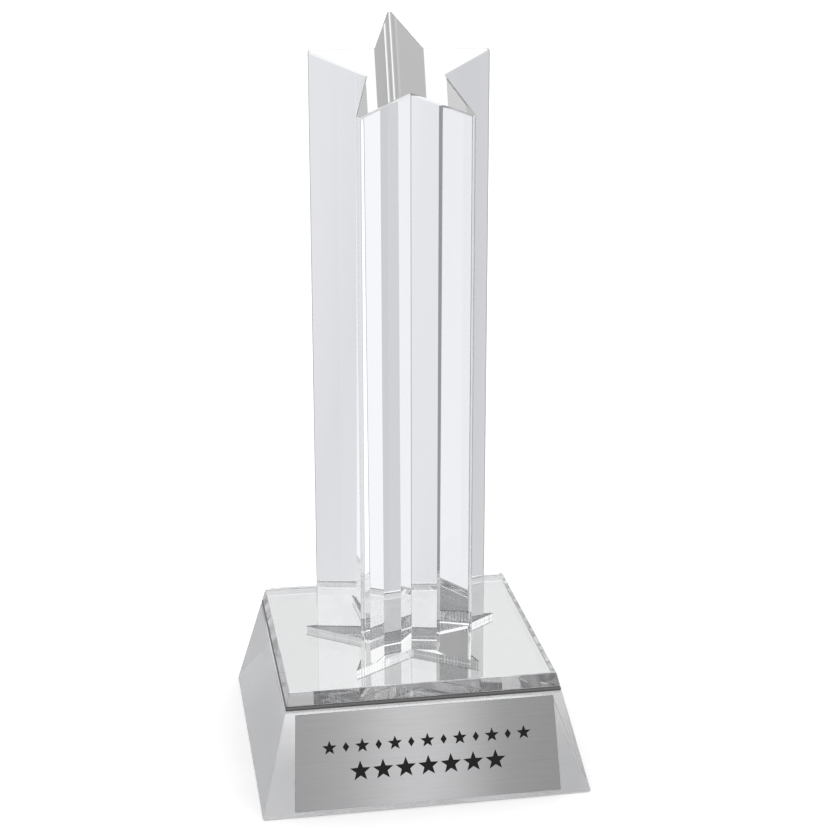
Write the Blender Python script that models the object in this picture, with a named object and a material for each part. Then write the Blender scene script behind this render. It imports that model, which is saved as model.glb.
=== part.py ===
"""Star column award: a clear five-pointed column that stands in a star-shaped
slot on a square base with leaning sides.

Metres, +Z up. The front, with the name plate, faces -Y. The origin is the
centre of the square face that the award stands on.
"""
import math

import bmesh
import bpy
from mathutils import Vector

# Driving dimensions of the base
BASE_SIZE = 0.114                  # side of the square that stands on the table
SIDE_LEAN = math.radians(14.6)     # how far every side of the base leans in
BASE_BLOCK_HEIGHT = 0.0347
MIRROR_TAPE_THICKNESS = 0.0002
MIRROR_SHEET_THICKNESS = 0.0011
TOP_PLATE_THICKNESS = 0.0048
LAYER_GAP = 0.0002                 # air between two layers that lie on each other
SAWN_EDGE_BREAK = 0.0003           # small flat that takes the sharpness off an edge

# Driving dimensions of the column
STAR_RADIUS = 0.0344               # centre to the point of an arm, before rounding
STAR_WAIST = 0.408                 # radius of the inner corners over STAR_RADIUS
STAR_POINTS = 5
POINT_ROUNDING = 0.0010            # polishing rounds each arm's point
POINT_STEPS = 8
COLUMN_MIDDLE_TOP = 0.2442         # height of the slanted top over the star's middle
TOP_SLANT = math.radians(25.3)     # the top falls towards the front
COLUMN_EDGE_BREAK = 0.0004
GLUE_THICKNESS = 0.0002
GLUE_SETBACK = 0.0006              # the glue stays this far inside the column
SLOT_CLEARANCE = 0.0006            # column wall to slot wall

# Driving dimensions of the name plate, measured along the leaning front
NAME_PLATE_BOTTOM_WIDTH = 0.0922
NAME_PLATE_TOP_WIDTH = 0.0892
NAME_PLATE_HEIGHT = 0.0331
NAME_PLATE_THICKNESS = 0.0004
NAME_PLATE_RISE = 0.0019           # from the base's bottom edge to the plate
NAME_PLATE_TAPE_THICKNESS = 0.00015
NAME_PLATE_TAPE_SETBACK = 0.0010
NAME_PLATE_GAP = 0.00015

# Heights that follow from the layers
MIRROR_TAPE_BOTTOM = BASE_BLOCK_HEIGHT + LAYER_GAP
MIRROR_BOTTOM = MIRROR_TAPE_BOTTOM + MIRROR_TAPE_THICKNESS + LAYER_GAP
MIRROR_TOP = MIRROR_BOTTOM + MIRROR_SHEET_THICKNESS
TOP_PLATE_BOTTOM = MIRROR_TOP + LAYER_GAP
GLUE_BOTTOM = MIRROR_TOP + LAYER_GAP
COLUMN_BOTTOM = GLUE_BOTTOM + GLUE_THICKNESS + LAYER_GAP

SECTOR = math.pi / STAR_POINTS
# The rear point is as far from the plate's middle as the two front points
STAR_MIDDLE_Y = -STAR_RADIUS * (1 - math.cos(SECTOR)) / 2
# Half of the angle at an arm's point, from the star's waist
POINT_HALF_ANGLE = math.atan2(STAR_WAIST * math.sin(SECTOR), 1 - STAR_WAIST * math.cos(SECTOR))


def clear_scene():
    for old in list(bpy.data.objects):
        bpy.data.objects.remove(old, do_unlink=True)


def material(name, colour, roughness, metallic=0.0, transmission=0.0):
    made = bpy.data.materials.new(name)
    made.use_nodes = True
    shader = made.node_tree.nodes["Principled BSDF"]
    shader.inputs["Base Color"].default_value = (*colour, 1.0)
    shader.inputs["Roughness"].default_value = roughness
    shader.inputs["Metallic"].default_value = metallic
    shader.inputs["Transmission Weight"].default_value = transmission
    shader.inputs["IOR"].default_value = 1.49
    made.diffuse_color = (*colour, 1.0)
    return made


def add_object(name, mesh_builder, finish):
    mesh = bpy.data.meshes.new(name)
    bmesh.ops.recalc_face_normals(mesh_builder, faces=mesh_builder.faces)
    mesh_builder.to_mesh(mesh)
    mesh_builder.free()
    mesh.materials.append(finish)
    made = bpy.data.objects.new(name, mesh)
    bpy.context.scene.collection.objects.link(made)
    return made


def prism(outline, bottom, height_at):
    """A closed solid with a flat bottom, whose top follows height_at(x, y)."""
    shape = bmesh.new()
    floor = shape.faces.new([shape.verts.new((x, y, bottom)) for x, y in outline])
    raised = bmesh.ops.extrude_face_region(shape, geom=[floor], use_keep_orig=True)["geom"]
    for vertex in (part for part in raised if isinstance(part, bmesh.types.BMVert)):
        vertex.co.z = height_at(vertex.co.x, vertex.co.y)
    return shape


def star_outline(grow=0.0, rounding=0.0):
    """The column's star, pushed out by grow on every side."""
    radius = STAR_RADIUS + grow / math.sin(POINT_HALF_ANGLE)
    points = []
    for arm in range(STAR_POINTS):
        aim = math.pi / 2 - 2 * SECTOR * arm
        steps = POINT_STEPS if rounding else 0
        middle = radius - rounding / math.sin(POINT_HALF_ANGLE)
        for step in range(steps + 1):
            share = step / steps * 2 - 1 if steps else 0.0
            turn = aim - share * (math.pi / 2 - POINT_HALF_ANGLE)
            points.append((middle * math.cos(aim) + rounding * math.cos(turn),
                           middle * math.sin(aim) + rounding * math.sin(turn)))
        inner = aim - SECTOR
        points.append((radius * STAR_WAIST * math.cos(inner), radius * STAR_WAIST * math.sin(inner)))
    return [(x, y + STAR_MIDDLE_Y) for x, y in points]


def half_width(height):
    """Half the base's side at a height, where the sides lean in."""
    return BASE_SIZE / 2 - height * math.tan(SIDE_LEAN)


def leaning_slab(name, bottom, thickness, finish, setback=0.0):
    """A square layer of the base whose sides follow the lean."""
    shape = bmesh.new()
    bmesh.ops.create_cube(shape, size=2.0)
    for vertex in shape.verts:
        height = bottom if vertex.co.z < 0 else bottom + thickness
        side = half_width(height) - setback
        vertex.co = Vector((side * vertex.co.x, side * vertex.co.y, height))
    return add_object(name, shape, finish)


def break_edges(piece, width):
    bevel = piece.modifiers.new("edge_break", "BEVEL")
    bevel.width = width
    bevel.segments = 1
    bevel.limit_method = "ANGLE"
    bevel.angle_limit = math.radians(40)


def make_base_block():
    clear = material("clear_base", (0.86, 0.88, 0.89), 0.06, transmission=0.9)
    block = leaning_slab("base_block", 0.0, BASE_BLOCK_HEIGHT, clear)
    break_edges(block, SAWN_EDGE_BREAK)


def make_mirror_tape():
    glue = material("mirror_tape", (0.55, 0.56, 0.57), 0.5)
    leaning_slab("mirror_tape", MIRROR_TAPE_BOTTOM, MIRROR_TAPE_THICKNESS, glue, setback=0.0004)


def make_mirror_sheet():
    mirror = material("mirror_sheet", (0.80, 0.81, 0.82), 0.03, metallic=1.0)
    leaning_slab("mirror_sheet", MIRROR_BOTTOM, MIRROR_SHEET_THICKNESS, mirror)


def make_top_plate():
    """The clear plate on the mirror, with the slot cut right through it."""
    clear = material("clear_plate", (0.93, 0.95, 0.95), 0.02, transmission=1.0)
    plate = leaning_slab("top_plate", TOP_PLATE_BOTTOM, TOP_PLATE_THICKNESS, clear)
    break_edges(plate, SAWN_EDGE_BREAK)
    above = TOP_PLATE_BOTTOM + 2 * TOP_PLATE_THICKNESS
    below = TOP_PLATE_BOTTOM - TOP_PLATE_THICKNESS
    cutter = add_object("slot_cutter", prism(star_outline(SLOT_CLEARANCE), below, lambda x, y: above), clear)
    cutter.hide_render = True
    cutter.display_type = "WIRE"
    slot = plate.modifiers.new("slot", "BOOLEAN")
    slot.operation = "DIFFERENCE"
    slot.solver = "EXACT"
    slot.object = cutter


def make_star_column():
    """The clear column: a star all the way up, with its top sawn at a slant."""
    clear = material("clear_column", (0.95, 0.96, 0.97), 0.02, transmission=1.0)
    shape = prism(star_outline(rounding=POINT_ROUNDING), COLUMN_BOTTOM,
                  lambda x, y: COLUMN_MIDDLE_TOP + (y - STAR_MIDDLE_Y) * math.tan(TOP_SLANT))
    shape.normal_update()
    ends = [face for face in shape.faces if abs(face.normal.z) > 0.5]
    rims = [edge for face in ends for edge in face.edges]
    bmesh.ops.bevel(shape, geom=rims, offset=COLUMN_EDGE_BREAK, segments=2, profile=0.5,
                    affect="EDGES", clamp_overlap=True)
    column = add_object("star_column", shape, clear)
    column.data.shade_smooth()
    column.data.set_sharp_from_angle(angle=math.radians(30))


def make_column_glue():
    glue = material("column_glue", (0.90, 0.91, 0.92), 0.1, transmission=0.8)
    top = GLUE_BOTTOM + GLUE_THICKNESS
    shape = prism(star_outline(-GLUE_SETBACK, rounding=POINT_ROUNDING / 2), GLUE_BOTTOM, lambda x, y: top)
    add_object("column_glue", shape, glue)


def front_layer(name, lift, thickness, setback, finish):
    """A thin layer on the leaning front, lift above its surface."""
    bottom_half = NAME_PLATE_BOTTOM_WIDTH / 2 - setback
    top_half = NAME_PLATE_TOP_WIDTH / 2 - setback
    up = NAME_PLATE_HEIGHT / 2 - setback
    outline = [(-bottom_half, -up), (bottom_half, -up), (top_half, up), (-top_half, up)]
    layer = add_object(name, prism(outline, 0.0, lambda x, y: thickness), finish)
    along = NAME_PLATE_RISE + NAME_PLATE_HEIGHT / 2
    on_face = Vector((0.0, -BASE_SIZE / 2 + along * math.sin(SIDE_LEAN), along * math.cos(SIDE_LEAN)))
    outward = Vector((0.0, -math.cos(SIDE_LEAN), math.sin(SIDE_LEAN)))
    layer.location = on_face + outward * lift
    layer.rotation_euler = (math.pi / 2 - SIDE_LEAN, 0.0, 0.0)


def make_name_plate():
    tape = material("name_plate_tape", (0.75, 0.75, 0.74), 0.5)
    front_layer("name_plate_tape", NAME_PLATE_GAP, NAME_PLATE_TAPE_THICKNESS,
                NAME_PLATE_TAPE_SETBACK, tape)
    brushed = material("name_plate", (0.60, 0.60, 0.60), 0.32, metallic=1.0)
    lift = 2 * NAME_PLATE_GAP + NAME_PLATE_TAPE_THICKNESS
    front_layer("name_plate", lift, NAME_PLATE_THICKNESS, 0.0, brushed)


clear_scene()
make_base_block()
make_mirror_tape()
make_mirror_sheet()
make_top_plate()
make_column_glue()
make_star_column()
make_name_plate()
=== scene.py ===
import math

import bmesh
import bpy
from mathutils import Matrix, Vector, noise


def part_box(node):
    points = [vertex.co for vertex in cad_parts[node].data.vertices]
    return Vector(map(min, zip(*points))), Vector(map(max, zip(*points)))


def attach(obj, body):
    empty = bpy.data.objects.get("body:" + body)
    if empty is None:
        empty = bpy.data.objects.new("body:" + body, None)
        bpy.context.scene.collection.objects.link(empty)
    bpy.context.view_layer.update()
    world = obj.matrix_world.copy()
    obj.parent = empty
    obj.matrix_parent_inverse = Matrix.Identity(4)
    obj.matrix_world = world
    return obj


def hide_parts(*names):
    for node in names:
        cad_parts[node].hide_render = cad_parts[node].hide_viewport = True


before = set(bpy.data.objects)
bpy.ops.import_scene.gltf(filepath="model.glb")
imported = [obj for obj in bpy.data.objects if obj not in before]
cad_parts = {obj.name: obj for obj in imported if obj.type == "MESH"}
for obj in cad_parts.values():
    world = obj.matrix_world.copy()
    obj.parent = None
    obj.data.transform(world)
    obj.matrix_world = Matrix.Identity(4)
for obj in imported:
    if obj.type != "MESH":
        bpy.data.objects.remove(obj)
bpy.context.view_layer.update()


# ---------------------------------------------------------------------------
# Camera. It stands about 0.7 m away, a little left of the front and above the
# award, and looks slightly down on it.
eye = bpy.data.objects.new("camera", bpy.data.cameras.new("camera"))
bpy.context.scene.collection.objects.link(eye)
bpy.context.scene.camera = eye
eye.location = (-0.0984, -0.6341, 0.3244)
eye.rotation_euler = (math.radians(72.594), math.radians(-0.681), math.radians(-11.452))
eye.data.sensor_width = 36
eye.data.lens = 83.16
eye.data.shift_x = -0.0966
eye.data.clip_end = 30


# ---------------------------------------------------------------------------
# Studio light. Clear acrylic shows only what stands around it, so the room is
# a ring of pale cloth screens with darker gaps between them, a big soft light
# overhead, and a plain white background.
room = bpy.data.worlds.new("studio")
bpy.context.scene.world = room
room.use_nodes = True
tree = room.node_tree
lamp = tree.nodes["Background"]


def tone_ramp(tree, stops, interpolation="LINEAR"):
    """A grey ramp from (position, brightness) pairs."""
    ramp = tree.nodes.new("ShaderNodeValToRGB")
    ramp.color_ramp.interpolation = interpolation
    elements = ramp.color_ramp.elements
    elements.remove(elements[1])
    for number, (position, tone) in enumerate(stops):
        stop = elements[0] if number == 0 else elements.new(position)
        stop.position = position
        stop.color = (*tone, 1) if isinstance(tone, tuple) else (tone, tone, tone, 1)
    return ramp


def arithmetic(tree, operation, first, second=None, third=None, clamp=False):
    node = tree.nodes.new("ShaderNodeMath")
    node.operation = operation
    node.use_clamp = clamp
    for socket, value in zip(node.inputs, (first, second, third)):
        if value is None:
            continue
        if isinstance(value, (int, float)):
            socket.default_value = value
        else:
            tree.links.new(value, socket)
    return node.outputs[0]


def blend_colours(tree, share, first, second, mode="MIX"):
    node = tree.nodes.new("ShaderNodeMix")
    node.data_type = "RGBA"
    node.blend_type = mode
    for socket, value in ((node.inputs[0], share), (node.inputs[6], first), (node.inputs[7], second)):
        if isinstance(value, bpy.types.NodeSocket):
            tree.links.new(value, socket)
        elif isinstance(value, tuple):
            socket.default_value = (*value, 1)
        else:
            socket.default_value = value
    return node.outputs[2]


# Screens level with the award, by compass angle: 0 is straight behind it and 90 is to the right
SCREENS = [(-180, 0.95), (-150, 1.00), (-142, 0.44), (-136, 0.24), (-132, 0.68), (-127, 0.88), (-118, 0.88),
           (-108, 0.78), (-86, 0.90), (-66, 0.85), (-58, 0.75), (-50, 0.35), (-36, 0.22), (-24, 0.45),
           (-18, 0.64), (16, 0.62), (20, 0.98), (24, 0.98), (26.5, 0.81), (28.4, 0.79), (29.4, 0.735),
           (31, 0.76), (34, 0.92), (43, 0.30), (52, 0.08), (62, 0.10), (70, 1.20), (82, 1.45), (92, 0.80),
           (104, 0.45), (140, 0.80)]
# Screens above the award, which the mirror and the edges pick up
CANOPY = [(-180, 1.00), (-155, 1.00), (-140, 0.60), (-128, 0.35), (-119, 0.40), (-114, 0.55), (-104, 0.85),
          (-80, 0.90), (-50, 0.55), (-25, 0.62), (-8, 0.66), (3, 0.88), (16, 0.94), (32, 0.98), (50, 0.70),
          (70, 1.00), (90, 1.25), (104, 1.20), (122, 0.70), (140, 0.60), (158, 1.00)]
# The lighter and darker table tops that show through the slanted top
TABLES = [(-180, 0.50), (-90, 0.40), (-76, 0.40), (-62, 0.51), (-40, 0.54), (-18, 0.48), (-4, 0.46),
          (4, 0.70), (9, 1.04), (22, 1.04), (30, 0.95), (38, 0.80), (49, 0.45), (76, 0.42), (90, 0.15),
          (105, 0.28), (140, 0.50)]
OVERHEAD = (1.20, 1.20, 1.21)
SCREEN_TINT = (0.985, 0.99, 1.02)
aim = tree.nodes.new("ShaderNodeTexCoord")
parts = tree.nodes.new("ShaderNodeSeparateXYZ")
tree.links.new(aim.outputs["Generated"], parts.inputs[0])
turn = arithmetic(tree, "ARCTAN2", parts.outputs["X"], parts.outputs["Y"])
round_share = arithmetic(tree, "MULTIPLY_ADD", turn, 1 / (2 * math.pi), 0.5)


def ring_of_light(stops):
    """Brightness round the award, from (compass angle, brightness) pairs."""
    ring = tone_ramp(tree, [((angle + 180) / 360, tone / 2) for angle, tone in stops])
    tree.links.new(round_share, ring.inputs[0])
    return arithmetic(tree, "MULTIPLY", ring.outputs[0], 2.0)


def at_height(start, end):
    """0 below the direction's start height, 1 above its end height."""
    share = tree.nodes.new("ShaderNodeMapRange")
    share.interpolation_type = "SMOOTHSTEP"
    share.inputs["From Min"].default_value = start
    share.inputs["From Max"].default_value = end
    tree.links.new(parts.outputs["Z"], share.inputs["Value"])
    return share.outputs[0]


level = blend_colours(tree, 1.0, ring_of_light(SCREENS), SCREEN_TINT, "MULTIPLY")
below = blend_colours(tree, at_height(-0.68, -0.52), ring_of_light(TABLES), level)
beside = blend_colours(tree, at_height(0.0, 0.08), below, ring_of_light(CANOPY))
all_round = blend_colours(tree, at_height(0.50, 0.70), beside, OVERHEAD)
path = tree.nodes.new("ShaderNodeLightPath")
seen = blend_colours(tree, path.outputs["Is Camera Ray"], all_round, (1.0, 1.0, 1.0))
tree.links.new(seen, lamp.inputs["Color"])

bpy.context.scene.view_settings.view_transform = "Standard"
bpy.context.scene.cycles.max_bounces = 56
bpy.context.scene.cycles.transmission_bounces = 40
bpy.context.scene.cycles.glossy_bounces = 48
bpy.context.scene.cycles.transparent_max_bounces = 24
bpy.context.scene.cycles.caustics_reflective = False
bpy.context.scene.cycles.caustics_refractive = False


# ---------------------------------------------------------------------------
# Floor. One wide pale sheet that the award stands on. The clear pieces look
# past it at the screens.
FLOOR_REACH = 5.0
FLOOR_DROP = 0.0003
floor_mesh = bpy.data.meshes.new("floor")
floor_mesh.from_pydata([(x * FLOOR_REACH, y * FLOOR_REACH, -FLOOR_DROP)
                        for x, y in ((-1, -1), (1, -1), (1, 1), (-1, 1))], [], [(0, 1, 2, 3)])
floor = bpy.data.objects.new("floor", floor_mesh)
bpy.context.scene.collection.objects.link(floor)
floor.visible_transmission = False
floor.visible_glossy = False
paper = bpy.data.materials.new("floor_paper")
paper.use_nodes = True
tree = paper.node_tree
fibres = tree.nodes.new("ShaderNodeTexNoise")
fibres.inputs["Scale"].default_value = 900
tone = tone_ramp(tree, [(0.3, 0.93), (0.7, 0.96)])
tree.links.new(fibres.outputs["Fac"], tone.inputs[0])
tree.links.new(tone.outputs[0], tree.nodes["Principled BSDF"].inputs["Base Color"])
tree.nodes["Principled BSDF"].inputs["Roughness"].default_value = 0.95
tree.nodes["Principled BSDF"].inputs["Specular IOR Level"].default_value = 0.0
tree.nodes["Principled BSDF"].inputs["Emission Color"].default_value = (1, 1, 1, 1)
path = tree.nodes.new("ShaderNodeLightPath")
glow = arithmetic(tree, "MULTIPLY", path.outputs["Is Camera Ray"], 0.25)
tree.links.new(glow, tree.nodes["Principled BSDF"].inputs["Emission Strength"])
floor_mesh.materials.append(paper)


# ---------------------------------------------------------------------------
# Base block. A thick block of clear cast acrylic, sawn to a square that leans
# in on all four sides and polished. Its underside is left ground, so that it
# sits flat on the desk.
FOOT_SIDE = 0.114
SIDE_LEAN = math.radians(14.6)
POLISHED_EDGE = 0.00045


def half_side(height):
    """Half the width of the leaning base at a height."""
    return FOOT_SIDE / 2 - height * math.tan(SIDE_LEAN)


def leaning_slab(bottom, top, edge, steps=3):
    """A square layer of the base with leaning sides and softly rounded edges."""
    shape = bmesh.new()
    bmesh.ops.create_cube(shape, size=2.0)
    for corner in shape.verts:
        height = bottom if corner.co.z < 0 else top
        side = half_side(height)
        corner.co = Vector((side * corner.co.x, side * corner.co.y, height))
    bmesh.ops.bevel(shape, geom=list(shape.edges), offset=edge, segments=steps, profile=0.5,
                    affect="EDGES", clamp_overlap=True)
    return shape


def add_piece(name, shape, *finishes):
    """Turns a mesh in the making into an object, with one material slot for each finish."""
    bmesh.ops.recalc_face_normals(shape, faces=shape.faces)
    mesh = bpy.data.meshes.new(name)
    shape.to_mesh(mesh)
    shape.free()
    for finish in finishes:
        mesh.materials.append(finish)
    piece = bpy.data.objects.new(name, mesh)
    bpy.context.scene.collection.objects.link(piece)
    return piece


def smooth_but_flat(piece):
    """Rounds the shading of the edges and keeps the wide faces optically flat."""
    piece.data.shade_smooth()
    piece.data.set_sharp_from_angle(angle=math.radians(40))
    weights = piece.modifiers.new("flat_faces", "WEIGHTED_NORMAL")
    weights.weight = 100
    weights.keep_sharp = True


def make_polish_marks():
    """Fine wipe marks and finger haze of polished acrylic, as a height and a haze mask."""
    group = bpy.data.node_groups.new("polish_marks", "ShaderNodeTree")
    for name, default in (("Mark Scale", 300.0), ("Stretch", 12.0)):
        socket = group.interface.new_socket(name, in_out="INPUT", socket_type="NodeSocketFloat")
        socket.default_value = default
    group.interface.new_socket("Haze", in_out="OUTPUT", socket_type="NodeSocketFloat")
    group.interface.new_socket("Height", in_out="OUTPUT", socket_type="NodeSocketFloat")
    inputs = group.nodes.new("NodeGroupInput")
    outputs = group.nodes.new("NodeGroupOutput")
    place = group.nodes.new("ShaderNodeTexCoord")
    split = group.nodes.new("ShaderNodeSeparateXYZ")
    group.links.new(place.outputs["Object"], split.inputs[0])
    slow_z = arithmetic(group, "DIVIDE", split.outputs["Z"], inputs.outputs["Stretch"])
    joined = group.nodes.new("ShaderNodeCombineXYZ")
    group.links.new(split.outputs["X"], joined.inputs[0])
    group.links.new(split.outputs["Y"], joined.inputs[1])
    group.links.new(slow_z, joined.inputs[2])
    lines = group.nodes.new("ShaderNodeTexNoise")
    lines.inputs["Detail"].default_value = 3.0
    group.links.new(inputs.outputs["Mark Scale"], lines.inputs["Scale"])
    group.links.new(joined.outputs[0], lines.inputs["Vector"])
    thin = tone_ramp(group, [(0.60, 0.0), (0.66, 1.0), (0.72, 0.0)])
    group.links.new(lines.outputs["Fac"], thin.inputs[0])
    cloud = group.nodes.new("ShaderNodeTexNoise")
    cloud.inputs["Scale"].default_value = 35.0
    group.links.new(place.outputs["Object"], cloud.inputs["Vector"])
    smudge = tone_ramp(group, [(0.52, 0.0), (0.75, 1.0)])
    group.links.new(cloud.outputs["Fac"], smudge.inputs[0])
    half_smudge = arithmetic(group, "MULTIPLY", smudge.outputs[0], 0.5)
    haze = arithmetic(group, "MULTIPLY_ADD", thin.outputs[0], 0.5, half_smudge, clamp=True)
    group.links.new(haze, outputs.inputs["Haze"])
    group.links.new(lines.outputs["Fac"], outputs.inputs["Height"])
    return group


polish_marks = make_polish_marks()


def clear_acrylic(name, tint, roughness, haze, wave, mark_scale=300.0, stretch=12.0):
    """Clear acrylic: roughness where it is clean, haze added by its marks, wave in metres."""
    made = bpy.data.materials.new(name)
    made.use_nodes = True
    tree = made.node_tree
    shader = tree.nodes["Principled BSDF"]
    shader.inputs["Base Color"].default_value = (*tint, 1)
    shader.inputs["Metallic"].default_value = 0.0
    shader.inputs["Transmission Weight"].default_value = 1.0
    shader.inputs["IOR"].default_value = 1.49
    marks = tree.nodes.new("ShaderNodeGroup")
    marks.node_tree = polish_marks
    marks.inputs["Mark Scale"].default_value = mark_scale
    marks.inputs["Stretch"].default_value = stretch
    spread = arithmetic(tree, "MULTIPLY_ADD", marks.outputs["Haze"], haze, roughness)
    tree.links.new(spread, shader.inputs["Roughness"])
    bump = tree.nodes.new("ShaderNodeBump")
    bump.inputs["Strength"].default_value = 1.0
    bump.inputs["Distance"].default_value = wave
    tree.links.new(marks.outputs["Height"], bump.inputs["Height"])
    tree.links.new(bump.outputs[0], shader.inputs["Normal"])
    path = tree.nodes.new("ShaderNodeLightPath")
    open_air = tree.nodes.new("ShaderNodeBsdfTransparent")
    pick = tree.nodes.new("ShaderNodeMixShader")
    tree.links.new(path.outputs["Is Shadow Ray"], pick.inputs[0])
    tree.links.new(shader.outputs[0], pick.inputs[1])
    tree.links.new(open_air.outputs[0], pick.inputs[2])
    tree.links.new(pick.outputs[0], tree.nodes["Material Output"].inputs["Surface"])
    return made


block_low, block_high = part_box("base_block")
block_clear = clear_acrylic("block_clear", (0.97, 0.975, 0.98), 0.0, 0.03, 0.0000002, 120.0, 1.0)
block_ground = clear_acrylic("block_ground", (0.93, 0.93, 0.93), 0.5, 0.2, 0.000003, 900.0, 1.0)
shape = leaning_slab(block_low.z, block_high.z, POLISHED_EDGE)
for face in shape.faces:
    if face.normal.z < -0.99 and face.calc_area() > 0.001:
        face.material_index = 1
base_block = add_piece("clear_base_block", shape, block_clear, block_ground)
smooth_but_flat(base_block)
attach(base_block, "root")
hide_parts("base_block")


# ---------------------------------------------------------------------------
# Mirror tape. A sheet of double-sided film between the block and the mirror.
# It shows only as a thin grey line under the mirror's edge.
film = bpy.data.materials.new("film_grey")
film.use_nodes = True
tree = film.node_tree
bubbles = tree.nodes.new("ShaderNodeTexVoronoi")
bubbles.inputs["Scale"].default_value = 450
shade = tone_ramp(tree, [(0.0, 0.52), (0.25, 0.58), (1.0, 0.60)])
tree.links.new(bubbles.outputs["Distance"], shade.inputs[0])
tree.links.new(shade.outputs[0], tree.nodes["Principled BSDF"].inputs["Base Color"])
tree.nodes["Principled BSDF"].inputs["Roughness"].default_value = 0.5
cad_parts["mirror_tape"].data.materials.clear()
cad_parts["mirror_tape"].data.materials.append(film)


# ---------------------------------------------------------------------------
# Mirror sheet. Thin silvered acrylic with dark backing paint that shows along
# its sawn edges. The paint below it and the adhesive above it fill most of
# the gaps to the next layers.
MIRROR_EDGE = 0.0004
PAINT_BELOW = 0.00014
ADHESIVE_ABOVE = 0.00012
mirror_low, mirror_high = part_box("mirror_sheet")
silver = bpy.data.materials.new("mirror_silver")
silver.use_nodes = True
tree = silver.node_tree
shader = tree.nodes["Principled BSDF"]
shader.inputs["Metallic"].default_value = 1.0
cloud = tree.nodes.new("ShaderNodeTexNoise")
cloud.inputs["Scale"].default_value = 60
tone = tone_ramp(tree, [(0.3, (0.86, 0.865, 0.87)), (0.7, (0.88, 0.885, 0.89))])
tree.links.new(cloud.outputs["Fac"], tone.inputs[0])
tree.links.new(tone.outputs[0], shader.inputs["Base Color"])
spread = tree.nodes.new("ShaderNodeMapRange")
spread.inputs["To Min"].default_value = 0.0
spread.inputs["To Max"].default_value = 0.03
tree.links.new(cloud.outputs["Fac"], spread.inputs["Value"])
tree.links.new(spread.outputs[0], shader.inputs["Roughness"])

backing = bpy.data.materials.new("mirror_edge")
backing.use_nodes = True
tree = backing.node_tree
shader = tree.nodes["Principled BSDF"]
shader.inputs["Roughness"].default_value = 0.3
place = tree.nodes.new("ShaderNodeTexCoord")
split = tree.nodes.new("ShaderNodeSeparateXYZ")
tree.links.new(place.outputs["Object"], split.inputs[0])
level = tree.nodes.new("ShaderNodeMapRange")
level.inputs["From Min"].default_value = mirror_low.z
level.inputs["From Max"].default_value = mirror_high.z
tree.links.new(split.outputs["Z"], level.inputs["Value"])
layers = tone_ramp(tree, [(0.0, 0.06), (0.35, 0.07), (0.42, 0.16), (0.9, 0.14), (1.0, 0.05)])
tree.links.new(level.outputs[0], layers.inputs[0])
saw = tree.nodes.new("ShaderNodeTexNoise")
saw.inputs["Scale"].default_value = 1500
saw_tone = tone_ramp(tree, [(0.35, 0.55), (0.65, 1.15)])
tree.links.new(saw.outputs["Fac"], saw_tone.inputs[0])
sawn = blend_colours(tree, 1.0, layers.outputs[0], saw_tone.outputs[0], "MULTIPLY")
tree.links.new(sawn, shader.inputs["Base Color"])

shape = leaning_slab(mirror_low.z - PAINT_BELOW, mirror_high.z + ADHESIVE_ABOVE, MIRROR_EDGE, steps=2)
for face in shape.faces:
    if face.normal.z < 0.99:
        face.material_index = 1
mirror_sheet = add_piece("silvered_mirror", shape, silver, backing)
smooth_but_flat(mirror_sheet)
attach(mirror_sheet, "root")
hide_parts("mirror_sheet")


# ---------------------------------------------------------------------------
# Top plate. Clear acrylic with polished leaning edges. A laser cuts the star
# slot right through it, and leaves fine upright ridges on the slot's walls.
# Its leaning sides and the slot's walls are tinted grey and the slot's top rim
# near black: painted shade.
plate_low, plate_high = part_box("top_plate")
STAR_RADIUS = 0.0344
STAR_WAIST = 0.408
SECTOR = math.pi / 5
STAR_MIDDLE_Y = -STAR_RADIUS * (1 - math.cos(SECTOR)) / 2
POINT_HALF_ANGLE = math.atan2(STAR_WAIST * math.sin(SECTOR), 1 - STAR_WAIST * math.cos(SECTOR))
SLOT_CLEARANCE = 0.0006
RIDGE_PITCH = 0.00115
RIDGE_DEPTH = 0.00022
RIDGE_STEPS = 8
RIDGE_START = 0.3
RIDGE_END = 0.55
RIDGE_MEAN = 0.85
RIDGE_UNEVENNESS = 0.4
RIM_FLARE = 0.00025
CUTTER_MARGIN = 0.001
PLATE_EDGE = 0.0004


def star_corners(grow):
    """The ten corners of the column's star, pushed out by grow."""
    radius = STAR_RADIUS + grow / math.sin(POINT_HALF_ANGLE)
    corners = []
    for number in range(10):
        out = radius if number % 2 == 0 else radius * STAR_WAIST
        turned = math.pi / 2 - SECTOR * number
        corners.append(Vector((out * math.cos(turned), out * math.sin(turned) + STAR_MIDDLE_Y)))
    return corners


def ridged_outline(grow):
    """The slot's star with a row of ridges along every side."""
    corners = star_corners(grow)
    ridges = round((star_corners(0.0)[1] - star_corners(0.0)[0]).length / RIDGE_PITCH)
    points = []
    for number in range(10):
        start = corners[number]
        side = corners[(number + 1) % 10] - start
        outward = Vector((-side.y, side.x)).normalized()
        steps = ridges * RIDGE_STEPS
        for step in range(steps):
            share = step / steps
            phase = (share * ridges) % 1.0
            chance = noise.noise(Vector((number * 3.1, math.floor(share * ridges) * 0.7, 0.0)))
            uneven = RIDGE_MEAN + RIDGE_UNEVENNESS * chance
            lift = -RIDGE_DEPTH * uneven if RIDGE_START < phase < RIDGE_END else 0.0
            points.append(start + side * share + outward * lift)
    return points


def stacked_rings(rings):
    """A closed solid from rings of the same number of points, with flat ends."""
    shape = bmesh.new()
    layers = [[shape.verts.new(point) for point in ring] for ring in rings]
    count = len(layers[0])
    for lower, upper in zip(layers, layers[1:]):
        for number in range(count):
            after = (number + 1) % count
            shape.faces.new((lower[number], lower[after], upper[after], upper[number]))
    shape.faces.new(layers[0])
    shape.faces.new(layers[-1])
    return shape


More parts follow.
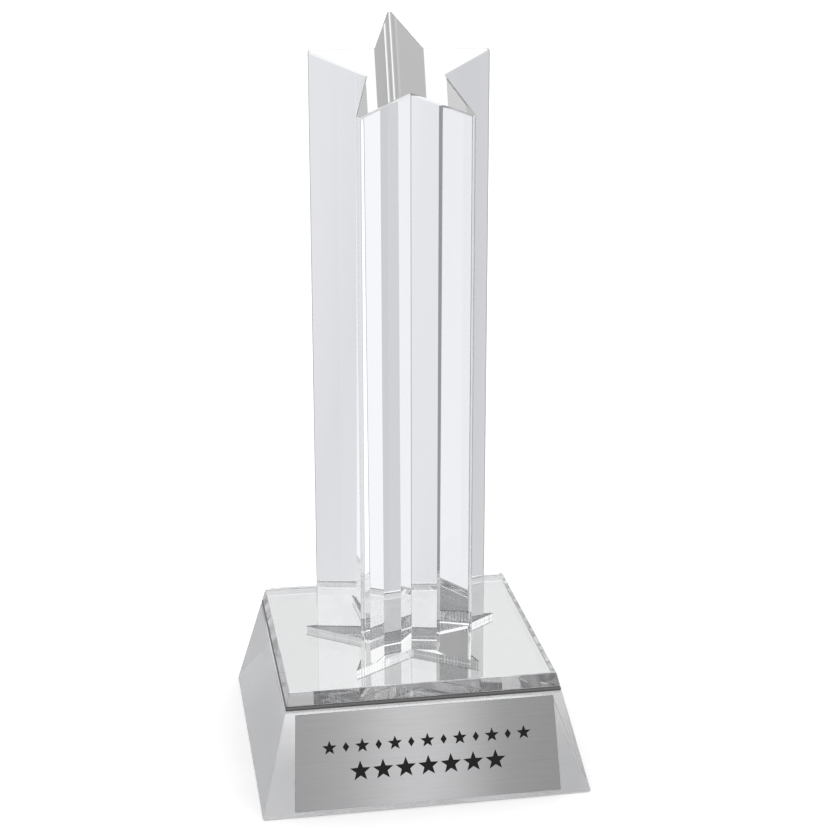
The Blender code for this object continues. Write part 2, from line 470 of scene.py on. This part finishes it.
def carve(piece, cutter):
    """Cuts one solid out of another for good, and keeps the cutter's finish on the cut."""
    cut = piece.modifiers.new("cut", "BOOLEAN")
    cut.operation = "DIFFERENCE"
    cut.solver = "EXACT"
    cut.material_mode = "TRANSFER"
    cut.object = cutter
    bpy.context.view_layer.update()
    depsgraph = bpy.context.evaluated_depsgraph_get()
    carved = bpy.data.meshes.new_from_object(piece.evaluated_get(depsgraph))
    piece.modifiers.clear()
    piece.data = carved
    bpy.data.objects.remove(cutter, do_unlink=True)


plate_clear = clear_acrylic("plate_clear", (0.98, 0.985, 0.985), 0.0, 0.012, 0.0000002, 150.0, 1.0)
# Painted shade: the slot's walls are tinted grey to darken them; the ridges are the real laser marks.
laser_wall_shaded = clear_acrylic("laser_wall_painted_shade", (0.40, 0.40, 0.405), 0.02, 0.03, 0.0000003, 200.0, 8.0)
# Painted shade: the narrow rim round the slot's top is tinted near black, a painted dark outline.
laser_rim_shaded = clear_acrylic("laser_rim_painted_shade", (0.05, 0.05, 0.05), 0.2, 0.2, 0.000002, 700.0, 1.0)
# Painted shade: the plate's leaning sides are tinted grey to darken them.
plate_sides_painted_shade = clear_acrylic("plate_sides_painted_shade", (0.46, 0.46, 0.465), 0.0, 0.02, 0.000001, 250.0, 1.0)
shape = leaning_slab(plate_low.z, plate_high.z, PLATE_EDGE)
# Side faces and their steeper rounded edges take the grey painted shade.
for face in shape.faces:
    if -0.99 < face.normal.z < 0.6:
        face.material_index = 1
top_plate = add_piece("clear_top_plate", shape, plate_clear, plate_sides_painted_shade)
slot_rings = []
for height, flare in ((plate_low.z - CUTTER_MARGIN, 0.0), (plate_high.z - RIM_FLARE, 0.0),
                      (plate_high.z + CUTTER_MARGIN, CUTTER_MARGIN + RIM_FLARE)):
    slot_rings.append([(point.x, point.y, height) for point in ridged_outline(SLOT_CLEARANCE + flare)])
shape = stacked_rings(slot_rings)
# The cutter's flared top puts the near-black painted outline on the slot's rim.
for face in shape.faces:
    if len(face.verts) == 4 and face.calc_center_median().z > plate_high.z:
        face.material_index = 1
carve(top_plate, add_piece("slot_cutter", shape, laser_wall_shaded, laser_rim_shaded))
smooth_but_flat(top_plate)
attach(top_plate, "root")
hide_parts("top_plate")


# ---------------------------------------------------------------------------
# Column glue. A thin film of clear adhesive, spread on the mirror and cured
# under the column's foot. It stops a little short of the column's outline.
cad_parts["column_glue"].data.materials.clear()
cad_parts["column_glue"].data.materials.append(
    clear_acrylic("cured_glue", (0.95, 0.95, 0.95), 0.05, 0.2, 0.000002, 500.0, 1.0))


# ---------------------------------------------------------------------------
# Star column. A bar of clear acrylic with a star section, sawn at a slant at
# the top and flame-polished. Polishing rounds the points and the top edge and
# leaves faint ripples along the points. Along the star's rear, the rounded top
# edge is tinted grey: painted shade.
column_low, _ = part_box("star_column")
POINT_ROUNDING = 0.0010
INNER_ROUNDING = 0.00025
TOP_SLANT = math.radians(25.3)
MIDDLE_TOP = 0.2442
TOP_EDGE = 0.0006
FOOT_EDGE = 0.0008
ARC_STEPS = 10
INNER_STEPS = 4
INNER_HALF_TURN = SECTOR + POINT_HALF_ANGLE
LEVELS = 90
RIPPLE = 0.00003
RIPPLES_PER_METRE = 420.0
FOOT_EDGE_STEPS = 3
TOP_EDGE_STEPS = 4


def column_outline(shrink):
    """The column's section with rounded points, moved inwards by shrink."""
    radius = STAR_RADIUS - shrink / math.sin(POINT_HALF_ANGLE)
    point_round = POINT_ROUNDING - shrink
    inner_round = INNER_ROUNDING + shrink
    outline = []
    for arm in range(5):
        aim = math.pi / 2 - 2 * SECTOR * arm
        middle = radius - point_round / math.sin(POINT_HALF_ANGLE)
        for step in range(ARC_STEPS + 1):
            turn = aim - (step / ARC_STEPS * 2 - 1) * (math.pi / 2 - POINT_HALF_ANGLE)
            outline.append(Vector((middle * math.cos(aim) + point_round * math.cos(turn),
                                   middle * math.sin(aim) + point_round * math.sin(turn) + STAR_MIDDLE_Y)))
        gap = aim - SECTOR
        reach = radius * STAR_WAIST + inner_round / math.sin(INNER_HALF_TURN)
        for step in range(INNER_STEPS + 1):
            turn = gap + math.pi + (step / INNER_STEPS * 2 - 1) * (math.pi / 2 - INNER_HALF_TURN)
            outline.append(Vector((reach * math.cos(gap) + inner_round * math.cos(turn),
                                   reach * math.sin(gap) + inner_round * math.sin(turn) + STAR_MIDDLE_Y)))
    return outline


def slanted(point):
    return MIDDLE_TOP + (point.y - STAR_MIDDLE_Y) * math.tan(TOP_SLANT)


rings = []
for step in range(FOOT_EDGE_STEPS + 1):
    lift = math.pi / 2 * step / FOOT_EDGE_STEPS
    outline = column_outline(FOOT_EDGE * (1 - math.sin(lift)))
    rings.append([(p.x, p.y, column_low.z + FOOT_EDGE * (1 - math.cos(lift))) for p in outline])
outline = column_outline(0.0)
centre = Vector((0.0, STAR_MIDDLE_Y))
points_per_arm = ARC_STEPS + 1 + INNER_STEPS + 1
shaft_foot = column_low.z + FOOT_EDGE
for level in range(1, LEVELS):
    ring = []
    for number, p in enumerate(outline):
        height = shaft_foot + (slanted(p) - TOP_EDGE - shaft_foot) * level / LEVELS
        arm, inside = divmod(number, points_per_arm)
        if 0 < inside < ARC_STEPS:
            unevenness = noise.noise(Vector((arm * 7.0, inside * 0.35, height * RIPPLES_PER_METRE)))
            p = p - (p - centre).normalized() * RIPPLE * (1 + unevenness)
        ring.append((p.x, p.y, height))
    rings.append(ring)
for step in range(TOP_EDGE_STEPS + 1):
    lift = math.pi / 2 * step / TOP_EDGE_STEPS
    outline = column_outline(TOP_EDGE * (1 - math.cos(lift)))
    rings.append([(p.x, p.y, slanted(p) - TOP_EDGE * (1 - math.sin(lift))) for p in outline])
column_clear = clear_acrylic("column_clear", (0.985, 0.987, 0.99), 0.0, 0.01, 0.0000002, 60.0, 20.0)
# Painted shade: a grey tint that draws a dark outline along the rear of the top edge.
column_rim_painted_shade = clear_acrylic("column_rim_painted_shade", (0.22, 0.22, 0.225), 0.03, 0.1, 0.000001, 400.0, 1.0)
shape = stacked_rings(rings)
bmesh.ops.recalc_face_normals(shape, faces=shape.faces)
top_facing = Vector((0.0, -math.sin(TOP_SLANT), math.cos(TOP_SLANT)))
# Faces of the top edge's rounding on the star's rear take the grey painted shade.
for face in shape.faces:
    lean = face.normal.dot(top_facing)
    outward = face.normal - top_facing * lean
    if face.normal.z > 0.1 and 0.2 < lean < 0.999 and outward.y > 0.1:
        face.material_index = 1
star_column = add_piece("clear_star_column", shape, column_clear, column_rim_painted_shade)
smooth_but_flat(star_column)
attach(star_column, "root")
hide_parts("star_column")


# ---------------------------------------------------------------------------
# Name plate tape. White double-sided film that holds the name plate on the
# block's leaning front. It is cut a little smaller than the plate.
sticky = bpy.data.materials.new("sticky_white")
sticky.use_nodes = True
tree = sticky.node_tree
weave = tree.nodes.new("ShaderNodeTexNoise")
weave.inputs["Scale"].default_value = 1200
shade = tone_ramp(tree, [(0.3, 0.70), (0.7, 0.78)])
tree.links.new(weave.outputs["Fac"], shade.inputs[0])
tree.links.new(shade.outputs[0], tree.nodes["Principled BSDF"].inputs["Base Color"])
tree.nodes["Principled BSDF"].inputs["Roughness"].default_value = 0.6
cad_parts["name_plate_tape"].data.materials.clear()
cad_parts["name_plate_tape"].data.materials.append(sticky)


# ---------------------------------------------------------------------------
# Name plate. Thin brushed silver aluminium, a little wider at the bottom, as
# the block is. Rows of stars and lozenges are engraved in it and filled with
# black. A light band across its colour is a painted reflection.
PLATE_BOTTOM_WIDTH = 0.0922
PLATE_TOP_WIDTH = 0.0892
PLATE_HEIGHT = 0.0331
PLATE_THICKNESS = 0.0004
PLATE_RISE = 0.0019
PLATE_LIFT = 0.00045
SHEARED_EDGE = 0.00015
ENGRAVED = 0.00012
UPPER_ROW = 0.0045
UPPER_SPACING = 0.0056
LOWER_ROW = -0.0042
LOWER_SPACING = 0.0078
UPPER_STAR = 0.0026
LOWER_STAR = 0.0037
LOZENGE_HALF_WIDTH = 0.0011
LOZENGE_HALF_HEIGHT = 0.0017

brushed = bpy.data.materials.new("brushed_silver")
brushed.use_nodes = True
tree = brushed.node_tree
shader = tree.nodes["Principled BSDF"]
shader.inputs["Metallic"].default_value = 1.0
place = tree.nodes.new("ShaderNodeTexCoord")
split = tree.nodes.new("ShaderNodeSeparateXYZ")
tree.links.new(place.outputs["Object"], split.inputs[0])
across = arithmetic(tree, "MULTIPLY_ADD", split.outputs["X"], 1 / PLATE_BOTTOM_WIDTH, 0.5)
# Painted reflection: the colour is lighter in a band near the middle and darker towards both ends, like a
# soft reflection across the plate.
painted_sheen = tone_ramp(tree, [(0.0, 0.39), (0.11, 0.42), (0.22, 0.47), (0.35, 0.61), (0.47, 0.66), (0.60, 0.59),
                         (0.70, 0.475), (0.80, 0.375), (1.0, 0.34)], "B_SPLINE")
tree.links.new(across, painted_sheen.inputs[0])
slow_x = arithmetic(tree, "MULTIPLY", split.outputs["X"], 0.012)
joined = tree.nodes.new("ShaderNodeCombineXYZ")
tree.links.new(slow_x, joined.inputs[0])
tree.links.new(split.outputs["Y"], joined.inputs[1])
tree.links.new(split.outputs["Z"], joined.inputs[2])
strokes = tree.nodes.new("ShaderNodeTexNoise")
strokes.inputs["Scale"].default_value = 5500
strokes.inputs["Detail"].default_value = 4.0
tree.links.new(joined.outputs[0], strokes.inputs["Vector"])
stroke_tone = tone_ramp(tree, [(0.25, 0.90), (0.75, 1.07)])
tree.links.new(strokes.outputs["Fac"], stroke_tone.inputs[0])
tree.links.new(blend_colours(tree, 1.0, painted_sheen.outputs[0], stroke_tone.outputs[0], "MULTIPLY"),
               shader.inputs["Base Color"])
rough = tree.nodes.new("ShaderNodeMapRange")
rough.inputs["To Min"].default_value = 0.30
rough.inputs["To Max"].default_value = 0.46
tree.links.new(strokes.outputs["Fac"], rough.inputs["Value"])
tree.links.new(rough.outputs[0], shader.inputs["Roughness"])
bump = tree.nodes.new("ShaderNodeBump")
bump.inputs["Strength"].default_value = 0.6
bump.inputs["Distance"].default_value = 0.00001
tree.links.new(strokes.outputs["Fac"], bump.inputs["Height"])
tree.links.new(bump.outputs[0], shader.inputs["Normal"])

# Painted shade: the plate's edge faces are dark grey metal, a painted dark outline round the plate.
painted_edge_shade = bpy.data.materials.new("painted_edge_shade")
painted_edge_shade.use_nodes = True
tree = painted_edge_shade.node_tree
edge_shade_noise = tree.nodes.new("ShaderNodeTexNoise")
edge_shade_noise.inputs["Scale"].default_value = 2500
shade = tone_ramp(tree, [(0.3, 0.16), (0.7, 0.30)])
tree.links.new(edge_shade_noise.outputs["Fac"], shade.inputs[0])
tree.links.new(shade.outputs[0], tree.nodes["Principled BSDF"].inputs["Base Color"])
tree.nodes["Principled BSDF"].inputs["Metallic"].default_value = 1.0
tree.nodes["Principled BSDF"].inputs["Roughness"].default_value = 0.5

black_fill = bpy.data.materials.new("black_fill")
black_fill.use_nodes = True
tree = black_fill.node_tree
grain = tree.nodes.new("ShaderNodeTexNoise")
grain.inputs["Scale"].default_value = 4000
shade = tone_ramp(tree, [(0.3, 0.006), (0.7, 0.02)])
tree.links.new(grain.outputs["Fac"], shade.inputs[0])
tree.links.new(shade.outputs[0], tree.nodes["Principled BSDF"].inputs["Base Color"])
tree.nodes["Principled BSDF"].inputs["Roughness"].default_value = 0.6
tree.nodes["Principled BSDF"].inputs["Specular IOR Level"].default_value = 0.15


def flat_prism(shape, outline, bottom, top):
    """Adds one upright solid with the given outline to a mesh in the making."""
    lower = [shape.verts.new((x, y, bottom)) for x, y in outline]
    upper = [shape.verts.new((x, y, top)) for x, y in outline]
    for number in range(len(outline)):
        after = (number + 1) % len(outline)
        shape.faces.new((lower[number], lower[after], upper[after], upper[number]))
    shape.faces.new(lower)
    shape.faces.new(upper)


def star_mark(x, y, radius, waist=0.42):
    return [(x + radius * (1 if n % 2 == 0 else waist) * math.sin(n * SECTOR),
             y + radius * (1 if n % 2 == 0 else waist) * math.cos(n * SECTOR)) for n in range(10)]


def lozenge(x, y, width, height):
    return [(x - width, y), (x, y - height), (x + width, y), (x, y + height)]


shape = bmesh.new()
flat_prism(shape, [(-PLATE_BOTTOM_WIDTH / 2, -PLATE_HEIGHT / 2), (PLATE_BOTTOM_WIDTH / 2, -PLATE_HEIGHT / 2),
                   (PLATE_TOP_WIDTH / 2, PLATE_HEIGHT / 2), (-PLATE_TOP_WIDTH / 2, PLATE_HEIGHT / 2)],
           0.0, PLATE_THICKNESS)
bmesh.ops.bevel(shape, geom=list(shape.edges), offset=SHEARED_EDGE, segments=2, profile=0.5,
                affect="EDGES", clamp_overlap=True)
# The side faces and their rounded edges take the dark painted edge shade.
for face in shape.faces:
    if abs(face.normal.z) < 0.9:
        face.material_index = 1
name_plate = add_piece("engraved_name_plate", shape, brushed, painted_edge_shade)
shape = bmesh.new()
low, high = PLATE_THICKNESS - ENGRAVED, PLATE_THICKNESS + CUTTER_MARGIN
for number in range(13):
    x = (number - 6) * UPPER_SPACING
    if number % 2 == 0:
        flat_prism(shape, star_mark(x, UPPER_ROW, UPPER_STAR), low, high)
    else:
        flat_prism(shape, lozenge(x, UPPER_ROW, LOZENGE_HALF_WIDTH, LOZENGE_HALF_HEIGHT), low, high)
for number in range(7):
    flat_prism(shape, star_mark((number - 3) * LOWER_SPACING, LOWER_ROW, LOWER_STAR), low, high)
carve(name_plate, add_piece("engraving_cutter", shape, black_fill))
smooth_but_flat(name_plate)
along = PLATE_RISE + PLATE_HEIGHT / 2
on_front = Vector((0.0, -FOOT_SIDE / 2 + along * math.sin(SIDE_LEAN), along * math.cos(SIDE_LEAN)))
off_front = Vector((0.0, -math.cos(SIDE_LEAN), math.sin(SIDE_LEAN)))
name_plate.location = on_front + off_front * PLATE_LIFT
name_plate.rotation_euler = (math.pi / 2 - SIDE_LEAN, 0.0, 0.0)
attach(name_plate, "root")
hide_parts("name_plate")
